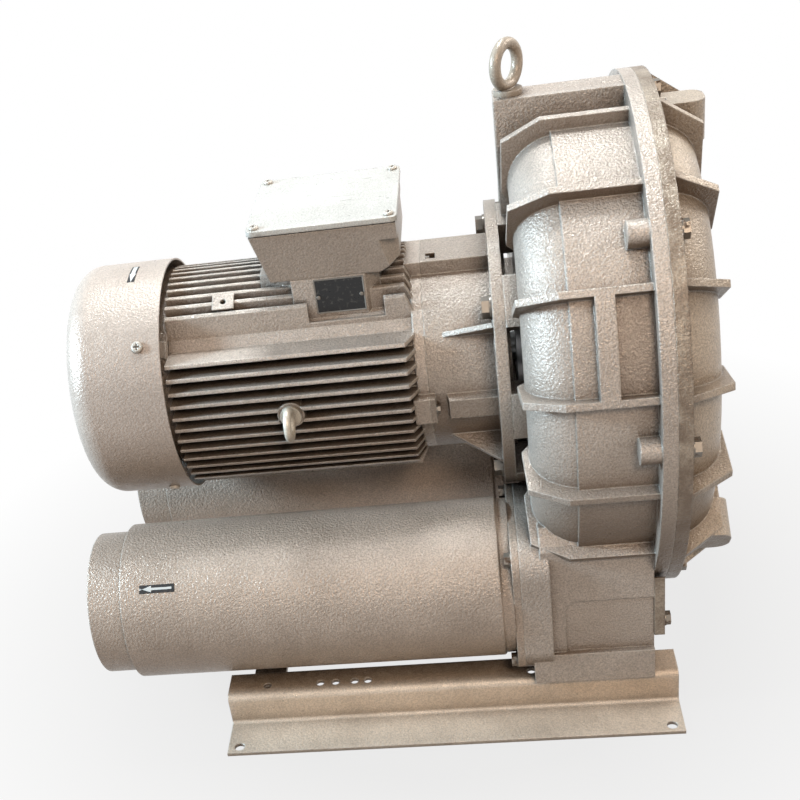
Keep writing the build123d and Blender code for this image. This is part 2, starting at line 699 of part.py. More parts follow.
# Drive end shield: motor flange, open bell and bearing seat in one casting
boss_wall = 10.0
bell_lug_angle = -8.0
bell_lug_rise = 9.0        # lugs and ribs, over the bell
bell_lug_width = 30.0
bell_lug_thick = 6.0
bell_screw_d = 5.0
bell_screw_r = bell_r + bell_screw_d
bell_lug_right = bell_left_x + bell_lug_thick
bell_rib_left = bell_lug_right + 2 * bell_screw_d
bell_screw_depth = 14.0
top_rib_width = 62.0
bell_rib_angles = [bell_lug_angle + 90.0 * i for i in (0, 2, 3)]
register = 6.0
with BuildPart() as drive_end_shield:
    with BuildSketch(along()):
        span(flange_x, flange_face_x, bearing_bore_r + 3, flange_r)
        span(flange_face_x, flange_face_x + spigot_depth, spigot_r - 9, spigot_r)
        span(bell_left_x, flange_x, bell_r - bell_wall, bell_r)
        span(bell_left_x - register, bell_left_x + 10, housing_bore_r - register - fit,
             housing_bore_r - fit)
        span(bell_left_x, bell_left_x + 10, housing_bore_r - register - fit, bell_r)
        span(bearing_x0 - 5, flange_face_x, bearing_r, bearing_r + boss_wall)
        span(bearing_x0 - 6, bearing_x1, 1, bearing_r, mode=Mode.SUBTRACT)
    revolve(axis=shaft_line)
    for angle in (33, -35, 147, 213):
        plate([(bell_left_x + 14, bell_r - 3), (flange_x + 2, bell_r - 3),
               (flange_x + 2, flange_r - 12), (flange_x - 2, flange_r - 12)], angle, 5.0)
    # Seam lugs, each with a rib behind it that runs on to the flange
    for angle in bell_rib_angles:
        with BuildSketch(outward(0, bell_r - bell_wall, angle)) as lug:
            span(bell_left_x, bell_lug_right, -bell_lug_width / 2, bell_lug_width / 2)
        extrude(lug.sketch, amount=bell_lug_rise + bell_wall)
        with BuildSketch(outward(0, bell_r - bell_wall, angle)) as rib:
            span(bell_rib_left, flange_x + 4, -bell_lug_width / 2, bell_lug_width / 2)
        extrude(rib.sketch, amount=bell_lug_rise + bell_wall, taper=12)
    # The top rib is wide and whole, with a pocket for its screw
    with BuildSketch(outward(0, bell_r - bell_wall)) as rib:
        span(bell_left_x, flange_x + 1, -top_rib_width / 2, top_rib_width / 2)
    extrude(rib.sketch, amount=bell_lug_rise + bell_wall)
    with BuildSketch(outward(0, bell_r, bell_lug_angle + 90)) as pocket:
        span(bell_lug_right, bell_rib_left, -1.4 * bell_screw_d, 1.4 * bell_screw_d)
    extrude(pocket.sketch, amount=2 * bell_lug_rise, mode=Mode.SUBTRACT)
    for y, z in ring_spots(4, bell_screw_r, bell_lug_angle):
        peg(facing(bell_left_x - 1, y, axis_height + z, 1), bell_screw_d / 2,
            bell_lug_thick + 2, mode=Mode.SUBTRACT)
    for y, z in ring_spots(4, flange_bolt_r, flange_bolt_angle):
        peg(facing(flange_x - 1, y, axis_height + z, 1), flange_bolt_d / 2, flange_thick + 2,
            mode=Mode.SUBTRACT)
save(drive_end_shield, "drive_end_shield")

with BuildPart() as motor_flange_bolts:
    for y, z in ring_spots(4, flange_bolt_r, flange_bolt_angle):
        hex_bolt(facing(flange_x, y, axis_height + z, -1), flange_bolt_d,
                 flange_thick + spacer_thick + web_thick - 2)
save(motor_flange_bolts, "motor_flange_bolts")

with BuildPart() as bell_screws:
    for y, z in ring_spots(4, bell_screw_r, bell_lug_angle):
        hex_bolt(facing(bell_lug_right, y, axis_height + z, 1), bell_screw_d,
                 bell_lug_thick + bell_screw_depth - 2)
save(bell_screws, "bell_screws")

# Bearings: sealed outer half in the shield, inner ring on the shaft
race_r = 27.0
for name, x0, x1, outer_r in (("drive_bearing", bearing_x0, bearing_x1, bearing_r),
                              ("tail_bearing", tail_bearing_x0, tail_bearing_x1,
                               tail_bearing_r)):
    with BuildPart() as outer_ring:
        tube(x0, x1, race_r + seat_gap, outer_r - fit)
    save(outer_ring, name)
    with BuildPart() as inner_ring:
        tube(x0, x1, bearing_bore_r + fit, race_r)
    save(inner_ring, name + "_inner_ring")

# Stator housing: bored barrel, cooling fins, pedestal and eye bolt boss in one casting
side_fins = 12
bottom_fins = 9
top_fins = 13
top_fin_tip_r = 117.0
end_ring_width = 11.0
fin_slope_x0, fin_slope_x1 = bell_left_x - 19.0, bell_left_x - 6.0
pedestal_x0, pedestal_x1 = box_x - 74.0, box_x + 49.0
pedestal_y = 62.0
pedestal = [(pedestal_x0, 38.0), (pedestal_x0 + 34, 46.0), (pedestal_x0 + 34, pedestal_y),
            (pedestal_x1 - 14, pedestal_y), (pedestal_x1, pedestal_y - 14)]
fin_dip_top = 76.0         # the outermost top fin, in front of the pedestal
box_floor = lid_top - lid_thick - box_height
eye_boss_x = -132.0
eye_boss_z = -1.0
eye_boss_y = 120.0
eye_boss_r = 14.0
motor_eye_thread_d, motor_eye_thread_depth = 8.0, 16.0
spare_pad_x = -193.0       # tapped pad that nothing is screwed to
spare_pad_angle = 61.0
spare_pad_r = 9.0
rear_screw_d = 6.0
rear_screw_depth = 15.0
rear_screw_r = (housing_bore_r + housing_r) / 2
fin_right_x = bell_left_x - end_ring_width
with BuildPart() as stator_housing:
    with BuildSketch(across(housing_left_x)):
        for i in range(side_fins):
            with Locations((0, shelf_z - i * side_fin_pitch)):
                Rectangle(2 * fin_tip_r, fin_thick)
        for i in range(bottom_fins):
            with Locations(((i - bottom_fins // 2) * top_fin_pitch, -fin_tip_r / 2)):
                Rectangle(fin_thick, fin_tip_r)
        Circle(fin_tip_r, mode=Mode.INTERSECT)
    extrude(amount=housing_length - 2)
    with BuildSketch(across(housing_left_x)):
        for i in range(top_fins):
            with Locations(((i - top_fins // 2) * top_fin_pitch, top_fin_tip_r / 2)):
                Rectangle(fin_thick, top_fin_tip_r)
        Circle(top_fin_tip_r, mode=Mode.INTERSECT)
    extrude(amount=housing_length - 2)
    for side in (-1, 1):
        inner, outer = side * (pedestal_y + 1), side * fin_tip_r
        block(pedestal_x0 + 48, pedestal_x1 + 3, min(inner, outer), max(inner, outer),
              axis_height + fin_dip_top, axis_height + fin_tip_r, mode=Mode.SUBTRACT)
    # The fins run out on a slope before the end ring
    with BuildSketch(along()):
        with BuildLine():
            Polyline((fin_slope_x0, fin_tip_r + 1), (bell_left_x + 1, fin_tip_r + 1),
                     (bell_left_x + 1, housing_r - 1), (fin_slope_x1, housing_r - 1), close=True)
        make_face()
    revolve(axis=shaft_line, mode=Mode.SUBTRACT)
    tube(housing_left_x, bell_left_x, 0, housing_r)
    tube(fin_right_x, bell_left_x, 0, bell_r)
    with BuildSketch(Plane.XY.offset(axis_height)):
        with BuildLine():
            Polyline(*pedestal, *[(x, -y) for x, y in reversed(pedestal)], close=True)
        make_face()
    extrude(amount=box_floor)
    peg(Plane(origin=(eye_boss_x, -eye_boss_y, axis_height + eye_boss_z),
              x_dir=(0, 0, 1), z_dir=(0, 1, 0)), eye_boss_r, eye_boss_y - housing_bore_r)
    peg(outward(spare_pad_x, housing_r - 4, spare_pad_angle), spare_pad_r,
        top_fin_tip_r - housing_r + 4)
    with BuildSketch(outward(0, bell_r - bell_wall)) as lug:
        span(bell_left_x - bell_screw_depth - 2, bell_left_x, -top_rib_width / 2,
             top_rib_width / 2)
    extrude(lug.sketch, amount=bell_lug_rise + bell_wall)
    for angle in bell_rib_angles:
        with BuildSketch(outward(0, bell_r - bell_wall, angle)) as lug:
            span(bell_left_x - bell_screw_depth - 2, bell_left_x, -bell_lug_width / 2,
                 bell_lug_width / 2)
        extrude(lug.sketch, amount=bell_lug_rise + bell_wall)
    tube(housing_left_x - 1, bell_left_x + 1, 0, housing_bore_r, mode=Mode.SUBTRACT)
    for y, z in ring_spots(4, bell_screw_r, bell_lug_angle):
        peg(facing(bell_left_x + 1, y, axis_height + z, -1), bell_screw_d / 2,
            bell_screw_depth, mode=Mode.SUBTRACT)
    for y, z in ring_spots(4, rear_screw_r):
        peg(facing(housing_left_x - 1, y, axis_height + z, 1), rear_screw_d / 2,
            rear_screw_depth + 1, mode=Mode.SUBTRACT)
    peg(Plane(origin=(eye_boss_x, -eye_boss_y - 1, axis_height + eye_boss_z),
              x_dir=(0, 0, 1), z_dir=(0, 1, 0)), motor_eye_thread_d / 2,
        motor_eye_thread_depth + 1, mode=Mode.SUBTRACT)
    peg(Plane(origin=(eye_boss_x, -eye_boss_y, axis_height + eye_boss_z),
              x_dir=(0, 0, 1), z_dir=(0, -1, 0)), eye_boss_r, fin_tip_r - eye_boss_y + 1,
        mode=Mode.SUBTRACT)
    peg(outward(spare_pad_x, top_fin_tip_r + 1, spare_pad_angle), 3.0, -13, mode=Mode.SUBTRACT)
save(stator_housing, "stator_housing")

with BuildPart() as motor_eye_bolt:
    eye_bolt(Plane(origin=(eye_boss_x, -eye_boss_y, axis_height + eye_boss_z),
                   x_dir=(0, 0, 1), z_dir=(0, -1, 0)),
             36.0, 20.0, 22.0, motor_eye_thread_d, motor_eye_thread_depth - 1)
save(motor_eye_bolt, "motor_eye_bolt")

# Stator and rotor packs
stack_x0, stack_x1 = housing_left_x + 50.0, bell_left_x - 54.0
rotor_cage = 10.0          # cast end rings of the rotor
stack_bore_r = 60.0
air_gap = 0.6
winding_reach = 28.0
with BuildPart() as stator_core:
    tube(stack_x0, stack_x1, stack_bore_r, housing_bore_r - fit)
save(stator_core, "stator_core")

with BuildPart() as windings:
    for x0 in (stack_x0 - winding_reach, stack_x1):
        tube(x0, x0 + winding_reach, stack_bore_r + 3, housing_bore_r - 5)
save(windings, "windings")

with BuildPart() as rotor_core:
    tube(stack_x0, stack_x1, rotor_seat_r + fit, stack_bore_r - air_gap)
    for x0 in (stack_x0 - rotor_cage, stack_x1):
        tube(x0, x0 + rotor_cage, rotor_seat_r + 14, stack_bore_r - 4)
save(rotor_core, "rotor_core")

# Tail end shield with the bearing seat and four arms for the cowl screws
tail_plate = 10.0
cowl_screw_x = cowl_rim_x - 23.0
cowl_screw_angle = 39.6
cowl_screw_d = 6.0
cowl_screw_depth = 15.0
arm_width = 20.0
arm_thick = 18.0
arm_r = cowl_r - cowl_wall - 2 * seat_gap
tail_face_x = tail_bearing_x0 - 6.0
with BuildPart() as tail_end_shield:
    with BuildSketch(along()):
        span(housing_left_x - tail_plate, housing_left_x, bearing_bore_r + 3, bell_r)
        span(housing_left_x, housing_left_x + register, housing_bore_r - register - fit,
             housing_bore_r - fit)
        span(tail_face_x, housing_left_x, bearing_bore_r + 3, tail_bearing_r + boss_wall)
        span(tail_bearing_x0, housing_left_x + 1, 1, tail_bearing_r, mode=Mode.SUBTRACT)
    revolve(axis=shaft_line)
    for i in range(4):
        plate([(cowl_screw_x - arm_width / 2, tail_bearing_r + 2),
               (housing_left_x - 1, tail_bearing_r + 2),
               (housing_left_x - 1, bell_r - 2), (cowl_screw_x + arm_width / 2, arm_r),
               (cowl_screw_x - arm_width / 2, arm_r)], cowl_screw_angle + 90 * i, arm_thick)
        peg(outward(cowl_screw_x, arm_r + 1, cowl_screw_angle + 90 * i), cowl_screw_d / 2,
            -cowl_screw_depth - 1, mode=Mode.SUBTRACT)
    for y, z in ring_spots(4, rear_screw_r):
        peg(facing(housing_left_x + 1, y, axis_height + z, -1), rear_screw_d / 2,
            tail_plate + 2, mode=Mode.SUBTRACT)
save(tail_end_shield, "tail_end_shield")

with BuildPart() as tail_shield_screws:
    for y, z in ring_spots(4, rear_screw_r):
        hex_bolt(facing(housing_left_x - tail_plate, y, axis_height + z, -1), rear_screw_d,
                 tail_plate + rear_screw_depth - 1)
save(tail_shield_screws, "tail_shield_screws")

# Cooling fan on the tail of the shaft
fan_r = 108.0
fan_blades = 8
fan_hub_r = 26.0
fan_disc = 4.0
fan_blade_thick = 3.0
fan_right_x = tail_face_x - 8.0
with BuildPart() as cooling_fan:
    tube(fan_left_x, fan_right_x, 0, fan_hub_r)
    tube(fan_right_x - fan_disc, fan_right_x, 0, fan_r - 14)
    with BuildSketch(across(fan_left_x)):
        with PolarLocations((fan_hub_r - 2 + fan_r) / 2, fan_blades):
            Rectangle(fan_r - fan_hub_r + 2, fan_blade_thick)
    extrude(amount=fan_right_x - fan_left_x)
    tube(fan_left_x - 1, fan_right_x + 1, 0, fan_seat_r + fit, mode=Mode.SUBTRACT)
save(cooling_fan, "cooling_fan")

# Fan cowl: a drawn cup with an air grille in its end
grille_rings = 5
grille_slot = 8.0
grille_pitch = 15.0
grille_inner_r = 22.0
grille_bar = 7.0
with BuildPart() as fan_cowl:
    for inset, mode in ((0.0, Mode.ADD), (cowl_wall, Mode.SUBTRACT)):
        with BuildSketch(along()) as half:
            span(cowl_end_x + inset, cowl_rim_x, 0, cowl_r - inset)
            corner = half.vertices().sort_by_distance((cowl_end_x, cowl_r, 0))[0]
            fillet(corner, cowl_corner - inset)
        revolve(axis=shaft_line, mode=mode)
    with BuildSketch(across(cowl_end_x - 1)):
        for i in reversed(range(grille_rings)):
            Circle(grille_inner_r + i * grille_pitch + grille_slot)
            Circle(grille_inner_r + i * grille_pitch, mode=Mode.SUBTRACT)
        for angle in (0, 60, 120):
            Rectangle(2 * cowl_r, grille_bar, rotation=angle, mode=Mode.SUBTRACT)
    extrude(amount=cowl_wall + 2, mode=Mode.SUBTRACT)
    for i in range(4):
        peg(outward(cowl_screw_x, cowl_r + 1, cowl_screw_angle + 90 * i), cowl_screw_d / 2, -5,
            mode=Mode.SUBTRACT)
save(fan_cowl, "fan_cowl")

with BuildPart() as cowl_screws:
    for i in range(4):
        pan_screw(outward(cowl_screw_x, cowl_r, cowl_screw_angle + 90 * i), cowl_screw_d,
                  cowl_screw_depth - 1)
save(cowl_screws, "cowl_screws")

# Terminal box
gasket_thick = 1.5
box_top = lid_top - lid_thick - gasket_thick
box_rim_x, box_rim_y = lid_length / 2 - 2, lid_width / 2 - 2
lid_screw_d = 5.0
lid_screw_depth = 15.0
lid_spots = [(box_x + i * lid_screw_x, j * lid_screw_y) for i in (-1, 1) for j in (-1, 1)]
entry_x = box_x + 20.0
entry_z = axis_height + lid_top - 29.0
entry_r = 16.0
entry_face_y = lid_width / 2 + 4.0
corner_cut = 18.0          # legs of the corner facets on the right, low on the box
corner_cut_height = 36.0


def box_form(inset, top, floor):
    """The sloping form of the terminal box, drawn in by an inset, as a part of its own."""
    lean = box_taper * (top - floor) / box_height
    legs = corner_cut - (2 - sqrt(2)) * inset
    with BuildPart() as form:
        with BuildSketch(Plane.XZ.offset(-box_rim_y)):
            with BuildLine():
                Polyline((box_x - box_rim_x + inset, top), (box_x + box_rim_x - inset, top),
                         (box_x + box_rim_x - inset, floor + 12),
                         (box_x + box_rim_x - 20 - inset, floor),
                         (box_x - box_rim_x + lean + inset, floor), close=True)
            make_face()
        extrude(amount=2 * box_rim_y)
        with BuildSketch(Plane.YZ.offset(box_x - box_rim_x)):
            with BuildLine():
                Polyline((-box_rim_y + inset, top), (box_rim_y - inset, top),
                         (box_rim_y - lean - inset, floor), (lean + inset - box_rim_y, floor),
                         close=True)
            make_face()
        extrude(amount=2 * box_rim_x, mode=Mode.INTERSECT)
        for side in (-1, 1):
            with BuildSketch(Plane.XY.offset(floor - 1)) as facet:
                x, y = box_x + box_rim_x - inset, side * (box_rim_y - corner_cut / 4 - inset)
                with BuildLine():
                    Polyline((x + 20, y + side * 20), (x - legs - 20, y + side * 20),
                             (x + 20, y - side * (legs + 20)), close=True)
                make_face()
            extrude(facet.sketch, amount=corner_cut_height + 1, mode=Mode.SUBTRACT)
    return form.part


with BuildPart() as box_space:
    add(box_form(box_wall, axis_height + box_top, axis_height + box_floor + box_wall))
    for x, y in lid_spots:
        peg(Plane(origin=(x, y, axis_height + box_floor)), lid_screw_d + 1.5, box_height,
            mode=Mode.SUBTRACT)

with BuildPart() as terminal_box:
    add(box_form(0, axis_height + box_top, axis_height + box_floor))
    entry = Plane(origin=(entry_x, entry_face_y, entry_z), x_dir=(1, 0, 0), z_dir=(0, 1, 0))
    peg(entry, entry_r + 6, -20)
    add(box_space.part, mode=Mode.SUBTRACT)
    peg(entry.offset(1), entry_r, -24, mode=Mode.SUBTRACT)
    for x, y in lid_spots:
        peg(Plane(origin=(x, y, axis_height + box_top + 1)), lid_screw_d / 2,
            -lid_screw_depth - 1, mode=Mode.SUBTRACT)
save(terminal_box, "terminal_box")

with BuildPart() as lid_gasket:
    with BuildSketch(Plane(origin=(box_x, 0, axis_height + box_top))):
        Rectangle(2 * box_rim_x - 1, 2 * box_rim_y - 1)
        Rectangle(2 * box_rim_x - 22, 2 * box_rim_y - 22, mode=Mode.SUBTRACT)
        with GridLocations(2 * lid_screw_x, 2 * lid_screw_y, 2, 2):
            Circle(lid_screw_d / 2, mode=Mode.SUBTRACT)
    extrude(amount=gasket_thick)
save(lid_gasket, "lid_gasket")

with BuildPart() as terminal_box_lid:
    with BuildSketch(Plane(origin=(box_x, 0, axis_height + lid_top - lid_thick))):
        RectangleRounded(lid_length, lid_width, lid_corner)
        with GridLocations(2 * lid_screw_x, 2 * lid_screw_y, 2, 2):
            Circle(lid_screw_d / 2, mode=Mode.SUBTRACT)
    extrude(amount=lid_thick)
save(terminal_box_lid, "terminal_box_lid")

with BuildPart() as lid_screws:
    for x, y in lid_spots:
        pan_screw(Plane(origin=(x, y, axis_height + lid_top)), lid_screw_d,
                  lid_thick + gasket_thick + lid_screw_depth - 3.5)
save(lid_screws, "lid_screws")

board_x, board_y, board_height = 56.0, 84.0, 14.0
stud_step_x, stud_step_y, stud_height = 14.0, 26.0, 14.0
board_z = axis_height + box_floor + box_wall
with BuildPart() as terminal_board:
    block(box_x - board_x / 2, box_x + board_x / 2, -board_y / 2, board_y / 2, board_z,
          board_z + board_height)
save(terminal_board, "terminal_board")

with BuildPart() as terminal_studs:
    for i in (-1, 1):
        for j in (-1, 0, 1):
            stud = Plane(origin=(box_x + stud_step_x * i, stud_step_y * j,
                                 board_z + board_height))
            peg(stud, 2.5, stud_height)
            with BuildSketch(stud) as nut:
                RegularPolygon(5, 6)
            extrude(nut.sketch, amount=4)
save(terminal_studs, "terminal_studs")

gland_thread, gland_hexagon, gland_dome, gland_bore_r = 10.0, 7.0, 10.0, 9.0
with BuildPart() as cable_gland:
    peg(entry, entry_r - fit, -gland_thread)
    with BuildSketch(entry) as hexagon:
        RegularPolygon(entry_r + 5, 6)
    extrude(hexagon.sketch, amount=gland_hexagon)
    peg(entry.offset(gland_hexagon), entry_r + 1, gland_dome)
    peg(entry.offset(gland_hexagon + gland_dome + 1), gland_bore_r,
        -gland_thread - gland_hexagon - gland_dome - 2, mode=Mode.SUBTRACT)
save(cable_gland, "cable_gland")


# Silencers: one straight through pipe with an absorber each, bolted to the foot block
neck_r = silencer_r - 2.5
neck_length = 10.0
shell_right_x = port_flange_x - silencer_flange_thick
with BuildPart() as silencer_bolts:
    for side in (-1, 1):
        for dy in (-1, 1):
            for dz in (-1, 1):
                hex_bolt(facing(shell_right_x, side * port_y + dy * port_bolt_spacing / 2,
                                port_z + dz * port_bolt_spacing / 2, -1),
                         silencer_bolt_d,
                         silencer_flange_thick + silencer_bolt_depth - 2)
save(silencer_bolts, "silencer_bolts")

for side, name in ((-1, "front_silencer"), (1, "rear_silencer")):
    pipe_line = Axis((0, side * port_y, port_z), (1, 0, 0))
    pipe_plane = Plane(origin=(0, side * port_y, port_z), x_dir=(1, 0, 0), z_dir=(0, -1, 0))
    pipe_r = inner_tube_r + inner_tube_wall
    cone_x = shell_right_x - neck_length
    with BuildPart() as shell:
        with BuildSketch(pipe_plane):
            with BuildLine():
                Polyline((collar_left_x, pipe_r + fit), (collar_left_x, collar_r),
                         (silencer_left_x, collar_r), (silencer_left_x, silencer_r),
                         (cone_x - silencer_r + neck_r, silencer_r), (cone_x, neck_r),
                         (shell_right_x, neck_r), (shell_right_x, pipe_r + fit), close=True)
            make_face()
            span(collar_left_x + silencer_wall, silencer_left_x + silencer_wall,
                 pipe_r + fit, collar_r - silencer_wall, mode=Mode.SUBTRACT)
            with BuildLine():
                Polyline((silencer_left_x + silencer_wall, pipe_r + fit),
                         (silencer_left_x + silencer_wall, silencer_r - silencer_wall),
                         (cone_x - silencer_r + neck_r - 1, silencer_r - silencer_wall),
                         (cone_x - 1, neck_r - silencer_wall),
                         (shell_right_x, neck_r - silencer_wall),
                         (shell_right_x, pipe_r + fit), close=True)
            make_face(mode=Mode.SUBTRACT)
        revolve(axis=pipe_line)
    save(shell, name + "_shell")
    with BuildPart() as pipe_flange:
        with BuildSketch(facing(shell_right_x, side * port_y, port_z, 1)):
            RectangleRounded(port_flange_size, port_flange_size, port_flange_corner)
            Circle(pipe_r + fit, mode=Mode.SUBTRACT)
            with GridLocations(port_bolt_spacing, port_bolt_spacing, 2, 2):
                Circle(silencer_bolt_d / 2, mode=Mode.SUBTRACT)
        extrude(amount=silencer_flange_thick)
    save(pipe_flange, name + "_flange")
    with BuildPart() as pipe:
        tube(collar_left_x, port_flange_x, inner_tube_r, pipe_r, side * port_y, port_z)
    save(pipe, name + "_tube")
    with BuildPart() as absorber:
        tube(silencer_left_x + silencer_wall, cone_x - silencer_r + neck_r - 1,
             pipe_r + fit, silencer_r - silencer_wall - fit, side * port_y, port_z)
    save(absorber, name + "_absorber")
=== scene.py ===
import json
from math import cos, pi, radians, sin

import bpy
from mathutils import Matrix, Vector


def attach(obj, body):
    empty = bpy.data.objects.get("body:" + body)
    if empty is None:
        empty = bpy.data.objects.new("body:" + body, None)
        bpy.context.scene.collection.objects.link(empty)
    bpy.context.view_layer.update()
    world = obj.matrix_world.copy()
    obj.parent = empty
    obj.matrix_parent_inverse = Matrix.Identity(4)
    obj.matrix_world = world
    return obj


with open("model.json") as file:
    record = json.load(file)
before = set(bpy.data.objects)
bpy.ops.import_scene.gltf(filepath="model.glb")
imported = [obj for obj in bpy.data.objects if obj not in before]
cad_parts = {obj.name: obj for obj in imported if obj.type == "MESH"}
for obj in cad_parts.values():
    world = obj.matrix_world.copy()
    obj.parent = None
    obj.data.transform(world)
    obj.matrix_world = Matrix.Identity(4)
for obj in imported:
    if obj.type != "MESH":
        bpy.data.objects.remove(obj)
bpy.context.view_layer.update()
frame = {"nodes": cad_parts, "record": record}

# Casing of the blower: two aluminium castings with radial ribs, bolted rim to rim, with a
# foot block under the motor side half.  They are sprayed with hammered silver paint, which
# is rubbed pale on the edges, with a painted highlight there too, and brown with dust and
# painted shade in every corner, and painted shade darkens the undersides.
hammer_grain = 400.0        # dimples of the paint, as a noise scale on metres
hammer_depth = 0.0017
paint_speck = 650.0         # flakes of the silver in it
cloud_scale = 11.0          # patches of grime
rub_scale = 120.0           # specks along a rubbed edge that also carries a painted highlight
edge_reach = 0.0020         # how far from an edge the paint is rubbed pale and given a painted highlight
shaft_height = frame["record"]["behaviour"]["joints"][0]["pos_m"][2]
casing_silver = (0.63, 0.55, 0.485)
outer_silver = (0.63, 0.54, 0.44)
# brown of dust, also used as painted shade in corners and on undersides
dust_and_shade_brown = (0.150, 0.098, 0.062)
# near black, used only as painted shade in the deepest corners and hollows
crevice_shade = (0.030, 0.024, 0.020)
# pale of rubbed edges, partly a painted highlight
worn_and_lit_edge = (0.88, 0.83, 0.76)


def add_node(tree, kind, inputs=None, **settings):
    """New shader node; an input is a value, or the output of another node."""
    node = tree.nodes.new("ShaderNode" + kind)
    for name, value in settings.items():
        setattr(node, name, value)
    for name, value in (inputs or {}).items():
        if isinstance(value, bpy.types.NodeSocket):
            tree.links.new(value, node.inputs[name])
        else:
            node.inputs[name].default_value = value
    return node


def noise(tree, place, scale, detail, roughness=0.5):
    """Value output of a cloudy noise."""
    return add_node(tree, "TexNoise", {"Vector": place, "Scale": scale, "Detail": detail,
                                       "Roughness": roughness}).outputs["Fac"]


def shade(colour, factor):
    """The colour made lighter or darker by a factor."""
    return tuple(factor * part for part in colour)


def blend_colour(tree, amount, first, second):
    """Colour output that goes from the first colour to the second as the amount rises."""
    mix = add_node(tree, "Mix", data_type="RGBA")
    for index, value in ((0, amount), (6, first), (7, second)):
        if isinstance(value, bpy.types.NodeSocket):
            tree.links.new(value, mix.inputs[index])
        elif index == 0:
            mix.inputs[index].default_value = value
        else:
            mix.inputs[index].default_value = (*value, 1.0)
    return mix.outputs[2]


def stretch(tree, value, low, high, new_low=0.0, new_high=1.0):
    """Value mapped from one range to another and clamped to it."""
    return add_node(tree, "MapRange", {0: value, 1: low, 2: high, 3: new_low,
                                       4: new_high}).outputs[0]


def combine(tree, kind, first, second=0.0):
    """Output of a math node on one or two values."""
    return add_node(tree, "Math", {0: first, 1: second}, operation=kind).outputs[0]


def new_material(name, metallic, roughness):
    """Material with its node tree, its surface shader and the object's own coordinates."""
    material = bpy.data.materials.new(name)
    material.use_nodes = True
    tree = material.node_tree
    surface = tree.nodes["Principled BSDF"]
    surface.inputs["Metallic"].default_value = metallic
    surface.inputs["Roughness"].default_value = roughness
    place = add_node(tree, "TexCoord").outputs["Object"]
    return material, tree, surface, place


def edges_for_wear_and_highlight(tree, radius):
    """Softened normal, and how sharply the surface turns: 0 on a plain face, 1 on an edge."""
    soft = add_node(tree, "Bevel", {"Radius": radius}, samples=3).outputs[0]
    true = add_node(tree, "NewGeometry").outputs["Normal"]
    likeness = add_node(tree, "VectorMath", {0: soft, 1: true}, operation="DOT_PRODUCT")
    return soft, stretch(tree, likeness.outputs["Value"], 0.99, 0.84)


def hammered_paint(name, colour, depth=0.8, grime=0.5, shelter_reach=0.03, edge=worn_and_lit_edge,
                   underside_shade=0.4):
    """Silver hammered paint; dust and painted shade within the reach, painted shade below."""
    material, tree, surface, place = new_material(name, 0.22, 0.4)
    grain = noise(tree, place, hammer_grain, 2.0, 0.6)
    flake = noise(tree, place, paint_speck, 1.0)
    cloud = noise(tree, place, cloud_scale, 5.0, 0.6)
    speck = noise(tree, place, rub_scale, 4.0, 0.65)
    soft, corner = edges_for_wear_and_highlight(tree, edge_reach)
    shelter = add_node(tree, "AmbientOcclusion", {"Distance": shelter_reach},
                       samples=3).outputs["AO"]

    # silver flakes, pale and dark, under patches of grime
    body = blend_colour(tree, stretch(tree, flake, 0.62, 0.38), shade(colour, 1.1),
                        shade(colour, 1.0 - 0.28 * depth))
    body = blend_colour(tree, stretch(tree, cloud, 0.42, 0.72, 0.0, grime), body, dust_and_shade_brown)

    # dust and painted shade in corners, deeper painted shade in the deepest, painted shade
    # below
    dust_and_shade = combine(tree, "MULTIPLY", stretch(tree, shelter, 0.85, 0.35, 0.0, 0.8),
                    stretch(tree, speck, 0.3, 0.6, 0.55, 1.0))
    body = blend_colour(tree, dust_and_shade, body, dust_and_shade_brown)
    body = blend_colour(tree, stretch(tree, shelter, 0.52, 0.15, 0.0, 0.9), body, crevice_shade)
    facing = add_node(tree, "SeparateXYZ", {"Vector": soft}).outputs["Z"]
    underside_shade_share = stretch(tree, facing, 0.05, -0.45, 0.0, underside_shade)
    body = blend_colour(tree, underside_shade_share, body, dust_and_shade_brown)

    # edges rubbed pale and partly given a painted highlight, and the dimples of the paint
    rub_and_highlight = combine(tree, "MULTIPLY", corner, stretch(tree, speck, 0.36, 0.58, 0.15, 0.9))
    body = blend_colour(tree, rub_and_highlight, body, edge)
    tree.links.new(body, surface.inputs["Base Color"])
    bump = add_node(tree, "Bump", {"Height": grain, "Normal": soft, "Strength": depth,
                                   "Distance": hammer_depth})
    tree.links.new(bump.outputs[0], surface.inputs["Normal"])
    tree.links.new(stretch(tree, speck, 0.3, 0.7, 0.26, 0.44), surface.inputs["Roughness"])
    return material


def dress(material, *names):
    """Give the material to the frame's nodes of these names."""
    for name in names:
        for slot in frame["nodes"][name].material_slots:
            slot.material = material


def stain(material, start, full, amount):
    """Brown the material with distance from the shaft's axis, from the start to full."""
    tree = material.node_tree
    surface = tree.nodes["Principled BSDF"]
    place = add_node(tree, "TexCoord").outputs["Object"]
    offset = add_node(tree, "VectorMath", {0: place, 1: (0.0, 0.0, shaft_height)},
                      operation="SUBTRACT").outputs[0]
    across = add_node(tree, "VectorMath", {0: offset, 1: (0.0, 1.0, 1.0)},
                      operation="MULTIPLY").outputs[0]
    radius = add_node(tree, "VectorMath", {0: across}, operation="LENGTH").outputs["Value"]
    patch = noise(tree, place, 45.0, 5.0, 0.7)
    share = combine(tree, "MULTIPLY", stretch(tree, radius, start, full, 0.0, amount),
                    stretch(tree, patch, 0.35, 0.6, 0.3, 1.0))
    painted = surface.inputs["Base Color"].links[0].from_socket
    tree.links.new(blend_colour(tree, share, painted, dust_and_shade_brown), surface.inputs["Base Color"])


dress(hammered_paint("casing_paint", casing_silver, grime=0.25, underside_shade=0.75),
      "motor_side_casing", "hub_cover")
outer_paint = hammered_paint("outer_casing_paint", outer_silver, grime=0.25, underside_shade=0.75)
rim_stain_start, rim_stain_full = 0.250, 0.259
stain(outer_paint, rim_stain_start, rim_stain_full, 0.75)
dress(outer_paint, "outer_casing", "port_cover_plates")
